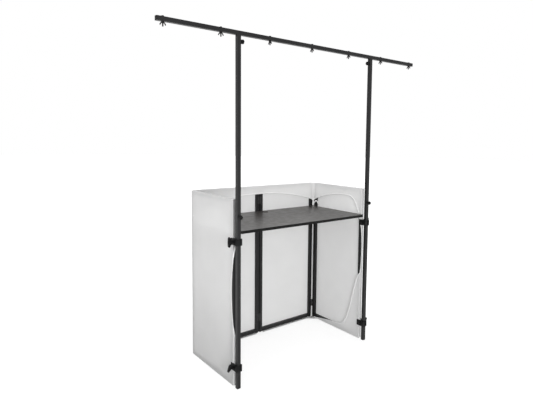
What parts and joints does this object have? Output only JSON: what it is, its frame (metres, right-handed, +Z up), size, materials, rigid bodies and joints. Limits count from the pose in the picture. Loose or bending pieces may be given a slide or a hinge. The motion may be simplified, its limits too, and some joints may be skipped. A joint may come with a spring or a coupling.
{
  "type": "dj booth",
  "caption": "Folding DJ booth of square tube frames with a white stretch cover, an inner table and a lighting crossbar on two clamped masts.",
  "frame": {"origin": "on the floor at the middle of the booth's plan", "axes": "+X along the crossbar, +Y towards the audience, +Z up; the performer stands at -Y"},
  "size_m": [2.19, 0.6964, 2.2653],
  "materials": {
    "black_tube": "black semi-gloss powder coat",
    "inner_tube": "black powder coat on the plug-in tubes",
    "black_steel_fittings": "black painted hinges and brackets",
    "black_plastic": "fine-grained black moulding",
    "black_bolts": "black zinc bolts and studs",
    "black_nuts": "black zinc wing nuts",
    "rubber": "matt black rubber",
    "table_laminate": "dark grey fine-textured laminate on board",
    "table_edging": "black edge strip",
    "white_stretch_fabric": "white opaque stretch knit"
  },
  "bodies": {
    "booth": {"left_side_frame": "black_tube", "front_left_frame": "black_tube", "front_right_frame": "black_tube", "right_side_frame": "black_tube", "left_corner_hinges": "black_steel_fittings", "centre_hinges": "black_steel_fittings", "right_corner_hinges": "black_steel_fittings", "table_brackets": "black_steel_fittings", "panel_feet": "rubber", "left_lower_mast": "black_tube", "right_lower_mast": "black_tube", "mast_feet": "rubber", "left_mast_spigot": "inner_tube", "right_mast_spigot": "inner_tube", "left_upper_clamp_outer_jaw": "black_plastic", "left_upper_clamp_inner_jaw": "black_plastic", "left_lower_clamp_outer_jaw": "black_plastic", "left_lower_clamp_inner_jaw": "black_plastic", "right_upper_clamp_outer_jaw": "black_plastic", "right_upper_clamp_inner_jaw": "black_plastic", "right_lower_clamp_outer_jaw": "black_plastic", "right_lower_clamp_inner_jaw": "black_plastic", "clamp_bolts": "black_bolts", "scrim_left": "white_stretch_fabric", "scrim_front": "white_stretch_fabric", "scrim_right": "white_stretch_fabric"},
    "table": {"table_top": "table_laminate", "table_edging": "table_edging"},
    "left_mast_top": {"left_upper_mast": "black_tube", "left_mast_knob_stud": "black_bolts", "left_crossbar_knob_stud": "black_bolts"},
    "right_mast_top": {"right_upper_mast": "black_tube", "right_mast_knob_stud": "black_bolts", "right_crossbar_knob_stud": "black_bolts"},
    "gantry": {"crossbar": "black_tube", "crossbar_stubs": "inner_tube", "crossbar_end_caps": "black_plastic", "hanging_bolts": "black_bolts"},
    "left_mast_knob_body": {"left_mast_knob": "black_plastic"},
    "left_crossbar_knob_body": {"left_crossbar_knob": "black_plastic"},
    "right_mast_knob_body": {"right_mast_knob": "black_plastic"},
    "right_crossbar_knob_body": {"right_crossbar_knob": "black_plastic"},
    "wing_nut_1_body": {"wing_nut_1": "black_nuts"},
    "wing_nut_2_body": {"wing_nut_2": "black_nuts"},
    "wing_nut_3_body": {"wing_nut_3": "black_nuts"},
    "wing_nut_4_body": {"wing_nut_4": "black_nuts"},
    "wing_nut_5_body": {"wing_nut_5": "black_nuts"},
    "wing_nut_6_body": {"wing_nut_6": "black_nuts"},
    "wing_nut_7_body": {"wing_nut_7": "black_nuts"},
    "left_upper_clamp_wing_knob_body": {"left_upper_clamp_wing_knob": "black_plastic"},
    "left_lower_clamp_wing_knob_body": {"left_lower_clamp_wing_knob": "black_plastic"},
    "right_upper_clamp_wing_knob_body": {"right_upper_clamp_wing_knob": "black_plastic"},
    "right_lower_clamp_wing_knob_body": {"right_lower_clamp_wing_knob": "black_plastic"}
  },
  "joints": [
    {"name": "table_lift", "type": "slide", "parent": "booth", "child": "table", "axis": [0, 0, 1], "range_m": [0, 0.3]},
    {"name": "left_mast_lift", "type": "slide", "parent": "booth", "child": "left_mast_top", "axis": [0, 0, 1], "range_m": [0, 0.11]},
    {"name": "right_mast_lift", "type": "slide", "parent": "booth", "child": "right_mast_top", "axis": [0, 0, 1], "range_m": [0, 0.11]},
    {"name": "crossbar_lift", "type": "slide", "parent": "left_mast_top", "child": "gantry", "axis": [0, 0, 1], "range_m": [0, 0.085]},
    {"name": "left_mast_knob_turn", "type": "hinge", "parent": "left_mast_top", "child": "left_mast_knob_body", "pos_m": [-0.586, -0.33515, 1.122], "axis": [0, -1, 0], "continuous": true},
    {"name": "left_crossbar_knob_turn", "type": "hinge", "parent": "left_mast_top", "child": "left_crossbar_knob_body", "pos_m": [-0.5615, -0.31065, 2.199], "axis": [1, 0, 0], "continuous": true},
    {"name": "right_mast_knob_turn", "type": "hinge", "parent": "right_mast_top", "child": "right_mast_knob_body", "pos_m": [0.586, -0.33515, 1.122], "axis": [0, -1, 0], "continuous": true},
    {"name": "right_crossbar_knob_turn", "type": "hinge", "parent": "right_mast_top", "child": "right_crossbar_knob_body", "pos_m": [0.5615, -0.31065, 2.199], "axis": [-1, 0, 0], "continuous": true},
    {"name": "wing_nut_1_turn", "type": "hinge", "parent": "gantry", "child": "wing_nut_1_body", "pos_m": [-1.056, -0.31065, 2.23], "axis": [0, 0, -1], "continuous": true},
    {"name": "wing_nut_2_turn", "type": "hinge", "parent": "gantry", "child": "wing_nut_2_body", "pos_m": [-0.704, -0.31065, 2.23], "axis": [0, 0, -1], "continuous": true},
    {"name": "wing_nut_3_turn", "type": "hinge", "parent": "gantry", "child": "wing_nut_3_body", "pos_m": [-0.352, -0.31065, 2.23], "axis": [0, 0, -1], "continuous": true},
    {"name": "wing_nut_4_turn", "type": "hinge", "parent": "gantry", "child": "wing_nut_4_body", "pos_m": [0, -0.31065, 2.23], "axis": [0, 0, -1], "continuous": true},
    {"name": "wing_nut_5_turn", "type": "hinge", "parent": "gantry", "child": "wing_nut_5_body", "pos_m": [0.352, -0.31065, 2.23], "axis": [0, 0, -1], "continuous": true},
    {"name": "wing_nut_6_turn", "type": "hinge", "parent": "gantry", "child": "wing_nut_6_body", "pos_m": [0.704, -0.31065, 2.23], "axis": [0, 0, -1], "continuous": true},
    {"name": "wing_nut_7_turn", "type": "hinge", "parent": "gantry", "child": "wing_nut_7_body", "pos_m": [1.056, -0.31065, 2.23], "axis": [0, 0, -1], "continuous": true},
    {"name": "left_upper_clamp_wing_knob_turn", "type": "hinge", "parent": "booth", "child": "left_upper_clamp_wing_knob_body", "pos_m": [-0.6185, -0.28415, 0.962], "axis": [-1, 0, 0], "continuous": true},
    {"name": "left_lower_clamp_wing_knob_turn", "type": "hinge", "parent": "booth", "child": "left_lower_clamp_wing_knob_body", "pos_m": [-0.6185, -0.28415, 0.137], "axis": [-1, 0, 0], "continuous": true},
    {"name": "right_upper_clamp_wing_knob_turn", "type": "hinge", "parent": "booth", "child": "right_upper_clamp_wing_knob_body", "pos_m": [0.6185, -0.28415, 0.962], "axis": [1, 0, 0], "continuous": true},
    {"name": "right_lower_clamp_wing_knob_turn", "type": "hinge", "parent": "booth", "child": "right_lower_clamp_wing_knob_body", "pos_m": [0.6185, -0.28415, 0.137], "axis": [1, 0, 0], "continuous": true}
  ],
  "couplings": [
    {"joint": "right_mast_lift", "follows": "left_mast_lift", "ratio": 1}
  ]
}
